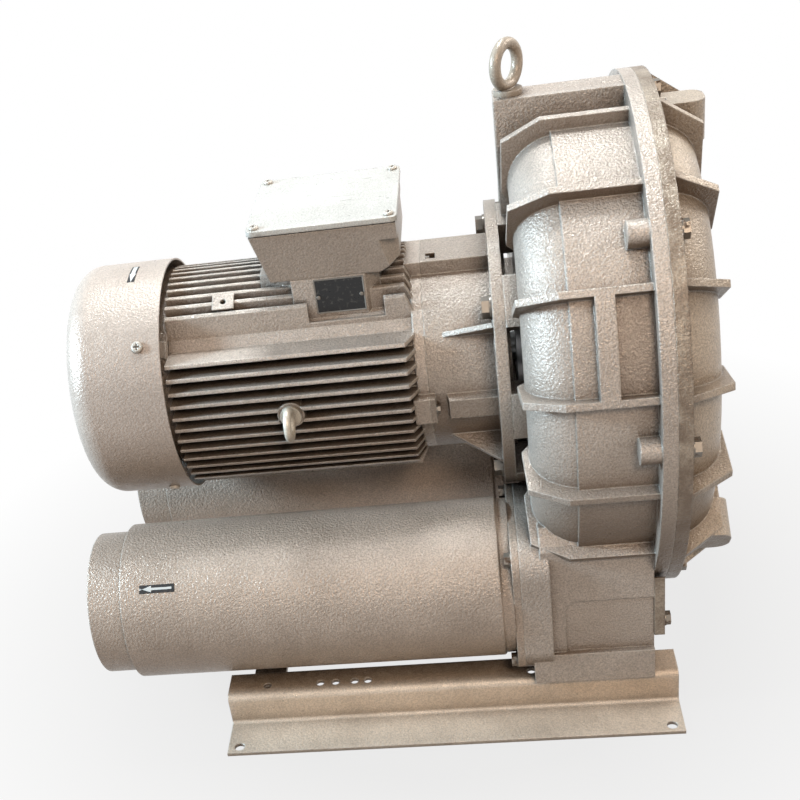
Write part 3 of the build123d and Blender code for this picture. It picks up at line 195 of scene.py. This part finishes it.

# Motor castings: finned stator housing, the bell with its flange, the tail shield and the
# terminal box, in the same paint, with fins rubbed pale and lit with a painted highlight,
# and painted shade between them.
motor_silver = (0.61, 0.53, 0.465)
bell_silver = (0.50, 0.435, 0.38)
# pale of the fin edges: rubbed paint, and a painted highlight
fin_wear_and_highlight = (0.94, 0.90, 0.83)
dress(hammered_paint("motor_paint", motor_silver, depth=0.7, grime=0.3, shelter_reach=0.02,
                     edge=fin_wear_and_highlight), "stator_housing")
dress(hammered_paint("bell_paint", bell_silver, grime=0.25, underside_shade=0.7),
      "drive_end_shield", "tail_end_shield")
dress(hammered_paint("box_paint", motor_silver, depth=0.6, grime=0.2), "terminal_box")

# Sheet metal parts: the fan cowl and the two silencers, pressed and rolled from sheet
# steel and sprayed with the same paint over a smoother ground.
cowl_silver = (0.63, 0.53, 0.46)
silencer_silver = (0.58, 0.475, 0.395)
dress(hammered_paint("cowl_paint", cowl_silver, depth=0.5, grime=0.2), "fan_cowl")
dress(hammered_paint("silencer_paint", silencer_silver, depth=0.75, grime=0.3,
                     underside_shade=0.1),
      *[f"{side}_silencer_{part}" for side in ("front", "rear")
        for part in ("shell", "flange", "tube")])

# Lid of the terminal box: a cast plate, sprayed thinly and scuffed by what has been laid
# on it, so that fine dark scratches cross it and its corners are stained.
# lighter than the box's paint: a painted highlight of the light from above
lid_silver_highlit = (0.74, 0.725, 0.68)
scratch_grey = (0.20, 0.18, 0.16)
scratch_slant = radians(35)
scratch_stretch = (26.0, 240.0, 26.0)
lid_paint = hammered_paint("lid_paint", lid_silver_highlit, depth=0.4, grime=0.2)
tree = lid_paint.node_tree
surface = tree.nodes["Principled BSDF"]
place = add_node(tree, "TexCoord").outputs["Object"]
slanted = add_node(tree, "Mapping", {"Vector": place, "Rotation": (0.0, 0.0, scratch_slant),
                                     "Scale": scratch_stretch}).outputs[0]
streak = add_node(tree, "TexNoise", {"Vector": slanted, "Scale": 1.0, "Detail": 2.0,
                                     "Distortion": 0.4}).outputs["Fac"]
scratch = stretch(tree, streak, 0.70, 0.735, 0.0, 0.55)
painted = surface.inputs["Base Color"].links[0].from_socket
tree.links.new(blend_colour(tree, scratch, painted, scratch_grey), surface.inputs["Base Color"])
dress(lid_paint, "terminal_box_lid")

# Base rails and their ties: folded steel sheet, painted, with dust from the floor and
# chips along the folds, which also carry a painted highlight.
rail_silver = (0.86, 0.725, 0.59)
dress(hammered_paint("rail_paint", rail_silver, depth=0.45, grime=0.3), "front_rail",
      "rear_rail", "cross_ties")

# Bolts and screws: zinc plated steel, dulled and browned with rust.  Those of the fan cowl
# and of the lid were sprayed over with the paint.
zinc_grey = (0.22, 0.20, 0.175)
rust_brown = (0.12, 0.070, 0.042)


def rusty_zinc(name, rust):
    """Dull zinc with a share of rust from 0 to 1, and painted shade in its hollows."""
    material, tree, surface, place = new_material(name, 0.65, 0.42)
    patch = noise(tree, place, 160.0, 5.0)
    share = stretch(tree, patch, 0.66 - 0.25 * rust, 0.80 - 0.25 * rust)
    shelter = add_node(tree, "AmbientOcclusion", {"Distance": 0.006}, samples=4).outputs["AO"]
    colour = blend_colour(tree, share, zinc_grey, rust_brown)
    # painted shade, near black, in the hollows round each head and thread
    colour = blend_colour(tree, stretch(tree, shelter, 0.6, 0.2, 0.0, 0.8), colour, crevice_shade)
    tree.links.new(colour, surface.inputs["Base Color"])
    tree.links.new(stretch(tree, share, 0.0, 1.0, 0.65, 0.1), surface.inputs["Metallic"])
    tree.links.new(stretch(tree, share, 0.0, 1.0, 0.38, 0.85), surface.inputs["Roughness"])
    bump = add_node(tree, "Bump", {"Height": patch, "Strength": 0.3, "Distance": 0.0004})
    tree.links.new(bump.outputs[0], surface.inputs["Normal"])
    return material


screw_silver = (0.70, 0.65, 0.58)
dress(hammered_paint("screw_paint", screw_silver, depth=0.2, grime=0.15,
                     shelter_reach=0.003), "cowl_screws", "lid_screws")
dress(rusty_zinc("clean_zinc", 0.1), "bell_screws", "tail_shield_screws",
      "hub_cover_screws", "terminal_studs", "motor_flange_bolts")
dress(rusty_zinc("browned_zinc", 0.45), "silencer_bolts", "port_cover_bolts",
      "casing_foot_bolts", "casing_bolts", "wheel_bolt")

# Lifting eyes: forged rings, one painted with the casing and worn, one dipped in cream
# paint that has chipped little.
eye_silver = (0.52, 0.45, 0.37)
eye_cream = (0.84, 0.78, 0.67)
dress(hammered_paint("eye_paint", eye_silver, depth=0.3, grime=0.5), "casing_eye_bolt")
dress(hammered_paint("cream_paint", eye_cream, depth=0.2, grime=0.1), "motor_eye_bolt")

# Bare metal inside: the turned steel shaft with its key, washer and bearings, and the
# aluminium wheel and seal carrier, all with fine tool marks.
steel_grey = (0.42, 0.42, 0.42)
aluminium_grey = (0.60, 0.60, 0.61)


def machined(name, colour, roughness):
    """Bare metal with fine turning marks."""
    material, tree, surface, place = new_material(name, 0.9, roughness)
    rings = add_node(tree, "TexWave", {"Vector": place, "Scale": 900.0, "Distortion": 0.4},
                     bands_direction="X").outputs["Fac"]
    marked = blend_colour(tree, stretch(tree, rings, 0.0, 1.0, 0.0, 0.15), colour,
                          shade(colour, 0.7))
    tree.links.new(marked, surface.inputs["Base Color"])
    bump = add_node(tree, "Bump", {"Height": rings, "Strength": 0.08, "Distance": 0.0002})
    tree.links.new(bump.outputs[0], surface.inputs["Normal"])
    return material


dress(machined("turned_steel", steel_grey, 0.3), "shaft", "drive_key", "wheel_washer",
      "drive_bearing", "drive_bearing_inner_ring", "tail_bearing", "tail_bearing_inner_ring")
dress(machined("cast_wheel", aluminium_grey, 0.4), "impeller", "seal_carrier")

# Dark parts: the moulded plastic fan, gland and terminal board, and the rubber seal and
# gasket, all black with a fine grain.
plastic_black = (0.022, 0.022, 0.023)


def dark_plastic(name, colour, roughness):
    """Moulded material with a fine grain."""
    material, tree, surface, place = new_material(name, 0.0, roughness)
    grain = noise(tree, place, 700.0, 2.0)
    tree.links.new(blend_colour(tree, grain, colour, shade(colour, 1.8)),
                   surface.inputs["Base Color"])
    bump = add_node(tree, "Bump", {"Height": grain, "Strength": 0.15, "Distance": 0.0003})
    tree.links.new(bump.outputs[0], surface.inputs["Normal"])
    return material


dress(dark_plastic("black_plastic", plastic_black, 0.5), "cooling_fan", "cable_gland",
      "terminal_board")
dress(dark_plastic("seal_rubber", plastic_black, 0.7), "lid_gasket", "shaft_seal")

# Filling that hardly shows: the motor's stacked core sheets and varnished windings, and
# the felt that lines the silencers.
copper_brown = (0.35, 0.13, 0.05)
sheet_dark = (0.09, 0.09, 0.095)
felt_grey = (0.24, 0.22, 0.18)
dress(machined("core_sheets", sheet_dark, 0.55), "stator_core", "rotor_core")
dress(dark_plastic("winding_varnish", copper_brown, 0.35), "windings")
dress(dark_plastic("silencer_felt", felt_grey, 0.95), "front_silencer_absorber",
      "rear_silencer_absorber")

# Name plate of the motor: a thin black sheet with a raised pale border, left bare, held
# by two round rivets on the front of the pedestal under the terminal box.
plate_left, plate_right = -0.097, -0.0465
plate_low, plate_high = 0.422, 0.4585
plate_seat_y = -0.062
plate_thick = 0.0008
border_width = 0.0012
border_height = 0.0003
plate_rounding = 0.00012
plate_black = (0.016, 0.016, 0.017)
plate_border = (0.30, 0.29, 0.27)


def select_only(piece):
    """Make this piece the active one and the only one selected."""
    bpy.ops.object.select_all(action="DESELECT")
    piece.select_set(True)
    bpy.context.view_layer.objects.active = piece


def select_faces(piece, wanted):
    """Open the piece in edit mode with just the faces for which wanted(normal) holds."""
    select_only(piece)
    bpy.ops.object.mode_set(mode="EDIT")
    bpy.ops.mesh.select_all(action="DESELECT")
    bpy.ops.object.mode_set(mode="OBJECT")
    for face in piece.data.polygons:
        face.select = wanted(face.normal)
    bpy.ops.object.mode_set(mode="EDIT")
    bpy.ops.mesh.select_mode(type="FACE")


def apply_modifier(piece, kind, **settings):
    """Add a modifier with these settings to the piece, the active one, and apply it."""
    modifier = piece.modifiers.new(kind.lower(), kind)
    for name, value in settings.items():
        setattr(modifier, name, value)
    bpy.ops.object.modifier_apply(modifier=modifier.name)


def off_centre(tree, value, centre):
    """How far a value is from a centre, to either side."""
    return combine(tree, "ABSOLUTE", combine(tree, "SUBTRACT", value, centre))


def settle(piece, name, material):
    """Put the piece's place into its mesh, name it, dress it and fix it to the body."""
    select_only(piece)
    bpy.ops.object.transform_apply(location=True, rotation=True, scale=True)
    piece.name = name
    piece.data.name = name
    piece.data.materials.clear()
    piece.data.materials.append(material)
    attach(piece, "blower_body")


plate_x, plate_z = (plate_left + plate_right) / 2, (plate_low + plate_high) / 2
plate_wide, plate_tall = plate_right - plate_left, plate_high - plate_low
bpy.ops.object.select_all(action="DESELECT")
bpy.ops.mesh.primitive_cube_add(size=1.0,
                                location=(plate_x, plate_seat_y - plate_thick / 2, plate_z))
name_plate = bpy.context.object
name_plate.scale = (plate_wide, plate_thick, plate_tall)
bpy.ops.object.transform_apply(location=False, rotation=False, scale=True)
select_faces(name_plate, lambda normal: normal.y < -0.9)
bpy.ops.mesh.inset(thickness=border_width)
bpy.ops.transform.translate(value=(0, border_height, 0))
bpy.ops.object.mode_set(mode="OBJECT")
apply_modifier(name_plate, "BEVEL", width=plate_rounding, segments=2)
plate_finish, tree, surface, place = new_material("plate_black", 0.2, 0.35)
axes = add_node(tree, "SeparateXYZ", {"Vector": place}).outputs
paint_blur = 0.0001
black_ends, border_starts = border_width + paint_blur, border_width - paint_blur
near_edge = combine(tree, "MAXIMUM",
                    stretch(tree, off_centre(tree, axes["X"], plate_x),
                            plate_wide / 2 - black_ends, plate_wide / 2 - border_starts),
                    stretch(tree, off_centre(tree, axes["Z"], plate_z),
                            plate_tall / 2 - black_ends, plate_tall / 2 - border_starts))
scuffs = noise(tree, place, 240.0, 5.0)
face = blend_colour(tree, stretch(tree, scuffs, 0.55, 0.75, 0.0, 0.35), plate_black,
                    plate_border)
tree.links.new(blend_colour(tree, near_edge, face, plate_border), surface.inputs["Base Color"])
tree.links.new(stretch(tree, scuffs, 0.3, 0.7, 0.25, 0.55), surface.inputs["Roughness"])
settle(name_plate, "name_plate", plate_finish)

rivet_r, rivet_height = 0.0022, 0.0012
rivet_brim, rivet_dome = 0.0009, 0.0004
rivet_rounding, rivet_sunk = 0.0003, 0.0003
rivet_spots = [(-0.0937, 0.4395), (-0.0498, 0.4395)]
rivet_metal = rusty_zinc("rivet_metal", 0.1)
bpy.ops.object.select_all(action="DESELECT")
bpy.ops.mesh.primitive_cylinder_add(vertices=24, radius=rivet_r, depth=rivet_height,
                                    rotation=(pi / 2, 0, 0))
rivet = bpy.context.object
bpy.ops.object.transform_apply(location=False, rotation=True, scale=False)
select_faces(rivet, lambda normal: normal.y < -0.9)
bpy.ops.mesh.inset(thickness=rivet_brim)
bpy.ops.transform.translate(value=(0, -rivet_dome, 0))
bpy.ops.object.mode_set(mode="OBJECT")
apply_modifier(rivet, "BEVEL", width=rivet_rounding, segments=2)
second_rivet = rivet.copy()
second_rivet.data = rivet.data.copy()
bpy.context.collection.objects.link(second_rivet)
rivet_y = plate_seat_y - plate_thick - rivet_height / 2 + rivet_sunk
for number, (one, (x, z)) in enumerate(zip((second_rivet, rivet), rivet_spots), 1):
    one.location = (x, rivet_y, z)
    settle(one, f"name_plate_rivet_{number}", rivet_metal)

# Spare pad on the stator housing: a small rectangular land with a drilled hole, cast and
# painted with the housing, which sits over the round root of the pad.
pad_x, pad_angle = -0.193, 61.0
pad_long, pad_wide, pad_thick = 0.023, 0.0186, 0.0022
pad_seat_r = 0.1166
pad_hole_r, pad_rounding = 0.0030, 0.0006
pad_out = Vector((0.0, -cos(radians(pad_angle)), sin(radians(pad_angle))))
pad_place = Vector((pad_x, 0.0, shaft_height)) + pad_out * (pad_seat_r + pad_thick / 2)
pad_tilt = radians(90.0 - pad_angle)
bpy.ops.object.select_all(action="DESELECT")
bpy.ops.mesh.primitive_cylinder_add(vertices=32, radius=pad_hole_r, depth=4 * pad_thick,
                                    location=pad_place, rotation=(pad_tilt, 0, 0))
pad_drill = bpy.context.object
bpy.ops.mesh.primitive_cube_add(size=1.0, location=pad_place, rotation=(pad_tilt, 0, 0))
spare_pad = bpy.context.object
spare_pad.scale = (pad_long, pad_wide, pad_thick)
bpy.ops.object.transform_apply(location=False, rotation=False, scale=True)
apply_modifier(spare_pad, "BOOLEAN", object=pad_drill)
apply_modifier(spare_pad, "BEVEL", width=pad_rounding, segments=2,
               angle_limit=radians(40))
bpy.data.objects.remove(pad_drill)
settle(spare_pad, "spare_pad", frame["nodes"]["stator_housing"].material_slots[0].material)

# Flow arrows: small black foil labels with a white arrow, one stuck on the front silencer
# and one on the fan cowl, each following the curve of the sheet under it.
foil_black = (0.015, 0.015, 0.016)
foil_white = (0.80, 0.80, 0.78)
foil_thick = 0.0002


def curved_label(name, middle, radius, x0, x1, angle0, angle1, material):
    """Strip of foil on a cylinder along X, between two stations and two angles."""
    bpy.ops.object.select_all(action="DESELECT")
    bpy.ops.mesh.primitive_cylinder_add(vertices=360, radius=radius, depth=x1 - x0,
                                        end_fill_type="NOTHING", rotation=(0, pi / 2, 0),
                                        location=((x0 + x1) / 2, *middle))
    strip = bpy.context.object
    bpy.ops.object.transform_apply(location=True, rotation=True, scale=True)
    low, high = radians(angle0), radians(angle1)

    def outside(normal):
        """Whether a face looks past either end of the strip's arc."""
        toward_low = -cos(low) * normal.y + sin(low) * normal.z
        toward_high = -cos(high) * normal.y + sin(high) * normal.z
        return min(toward_low, toward_high) < cos(high - low)

    select_faces(strip, outside)
    bpy.ops.mesh.delete(type="FACE")
    bpy.ops.object.mode_set(mode="OBJECT")
    apply_modifier(strip, "SOLIDIFY", thickness=foil_thick, offset=1.0)
    bpy.ops.object.shade_smooth_by_angle(angle=radians(30))
    settle(strip, name, material)


def arrow_foil(name, along_axis, tip, tail, centre, head, half_head, half_shaft, sideways):
    """Black foil with a white arrow along an axis from tail to tip, centred sideways."""
    material, tree, surface, place = new_material(name, 0.0, 0.35)
    axes = add_node(tree, "SeparateXYZ", {"Vector": place}).outputs
    travel = off_centre(tree, axes[along_axis], tip)
    aside = off_centre(tree, axes[sideways], centre)
    span = abs(tail - tip)
    cone = combine(tree, "MULTIPLY", travel, half_head / head)
    in_head = combine(tree, "MULTIPLY", combine(tree, "LESS_THAN", aside, cone),
                      combine(tree, "LESS_THAN", travel, head))
    in_shaft = combine(tree, "MULTIPLY", combine(tree, "LESS_THAN", aside, half_shaft),
                       combine(tree, "MULTIPLY", combine(tree, "GREATER_THAN", travel, head),
                               combine(tree, "LESS_THAN", travel, span)))
    white = combine(tree, "ADD", in_head, in_shaft)
    wear = noise(tree, place, 300.0, 4.0)
    black = blend_colour(tree, stretch(tree, wear, 0.55, 0.8, 0.0, 0.3), foil_black,
                         dust_and_shade_brown)
    tree.links.new(blend_colour(tree, white, black, foil_white), surface.inputs["Base Color"])
    tree.links.new(stretch(tree, wear, 0.3, 0.7, 0.25, 0.6), surface.inputs["Roughness"])
    return material


silencer_axis = (-0.133, 0.130)
silencer_outside = 0.085
arrow_angle = radians(43.2)
arrow_z = silencer_axis[1] + silencer_outside * sin(arrow_angle)
silencer_foil = arrow_foil("silencer_foil", "X", tip=-0.308, tail=-0.276, centre=arrow_z,
                           head=0.010, half_head=0.0026, half_shaft=0.0009, sideways="Z")
curved_label("flow_arrow_silencer", silencer_axis, silencer_outside, x0=-0.311, x1=-0.273,
             angle0=40, angle1=46.3, material=silencer_foil)
cowl_outside = 0.126
cowl_foil = arrow_foil("cowl_foil", "Y", tip=-0.0262, tail=0.0078, centre=-0.293,
                       head=0.016, half_head=0.0034, half_shaft=0.0022, sideways="X")
curved_label("flow_arrow_cowl", (0.0, shaft_height), cowl_outside, x0=-0.297, x1=-0.289,
             angle0=77.5, angle1=94, material=cowl_foil)

# Studio: a dull floor under the rails that looks pale and runs out to white away from the
# machine, soft lamps, and the camera where the photograph was taken from.
floor_half = 6.0
floor_warm = (0.10, 0.082, 0.065)
air_warm = (1.0, 0.83, 0.68)
air_light = 0.04
pure_white = (1.0, 1.0, 1.0, 1.0)
pale_until, white_from = 0.30, 0.75     # distances from the middle of the machine
bpy.ops.object.select_all(action="DESELECT")
bpy.ops.mesh.primitive_plane_add(size=2 * floor_half, location=(0, 0, 0))
floor = bpy.context.object
floor.name = "studio_floor"
floor_paint, tree, surface, place = new_material("floor_paint", 0.0, 0.9)
surface.inputs["Base Color"].default_value = (*floor_warm, 1.0)


def rays_that_look(tree):
    """1 for rays from the camera or a reflection, which show the studio as white."""
    ray = add_node(tree, "LightPath").outputs
    return combine(tree, "MAXIMUM", ray["Is Camera Ray"],
                   combine(tree, "MAXIMUM", ray["Is Glossy Ray"], ray["Is Transmission Ray"]))


watched = rays_that_look(tree)
distance = add_node(tree, "VectorMath", {0: place}, operation="LENGTH").outputs["Value"]
whiteness = stretch(tree, distance, pale_until, white_from, 0.80, 1.0)
glow = add_node(tree, "Emission", {"Color": pure_white, "Strength": 1.0})
floor_mix = add_node(tree, "MixShader", {0: combine(tree, "MULTIPLY", watched, whiteness),
                                         1: surface.outputs[0], 2: glow.outputs[0]})
tree.links.new(floor_mix.outputs[0], tree.nodes["Material Output"].inputs["Surface"])
floor.data.materials.append(floor_paint)

world = bpy.data.worlds.new("studio_air")
bpy.context.scene.world = world
world.use_nodes = True
tree = world.node_tree
air = tree.nodes["Background"]
air.inputs["Color"].default_value = (*air_warm, 1.0)
air.inputs["Strength"].default_value = air_light
wall = add_node(tree, "Background", {"Color": pure_white, "Strength": 1.0})
sky_mix = add_node(tree, "MixShader", {0: rays_that_look(tree), 1: air.outputs[0],
                                       2: wall.outputs[0]})
tree.links.new(sky_mix.outputs[0], tree.nodes["World Output"].inputs["Surface"])


def lamp(name, place, width, power, colour):
    """Soft square lamp that shines from a place on the middle of the machine."""
    bpy.ops.object.light_add(type="AREA", location=place)
    light = bpy.context.object
    light.name = name
    light.data.size = width
    light.data.energy = power
    light.data.color = colour
    light.rotation_euler = (lit_middle - Vector(place)).to_track_quat("-Z", "Y").to_euler()


lit_middle = Vector((0.0, 0.0, 0.3))
lamp("top_lamp", (-0.1, 0.80, 2.8), width=0.6, power=54.0, colour=(0.92, 0.98, 1.0))
lamp("window_lamp", (-2.6, -0.45, 1.4), width=0.5, power=110.0, colour=(0.62, 0.84, 1.0))
lamp("front_lamp", (0.6, -2.1, 2.0), width=0.6, power=25.0, colour=(1.0, 0.77, 0.57))
lamp("back_lamp", (1.9, 0.8, 1.7), width=1.0, power=22.0, colour=(1.0, 0.95, 0.90))

camera_place = (0.0709563, -1.2647011, 0.9506736)
camera_turn, camera_dip, camera_roll = 0.1788, 0.5564, -0.1739
bpy.ops.object.camera_add(location=camera_place)
camera = bpy.context.object
camera.name = "photo_camera"
camera.rotation_euler = (Matrix.Rotation(camera_turn, 3, "Z")
                         @ Matrix.Rotation(pi / 2 - camera_dip, 3, "X")
                         @ Matrix.Rotation(camera_roll, 3, "Z")).to_euler()
camera.data.sensor_width = 36.0
camera.data.lens = 57.8
camera.data.shift_x = 0.1207
camera.data.shift_y = 0.1341
bpy.context.scene.camera = camera
bpy.context.scene.view_settings.view_transform = "Standard"
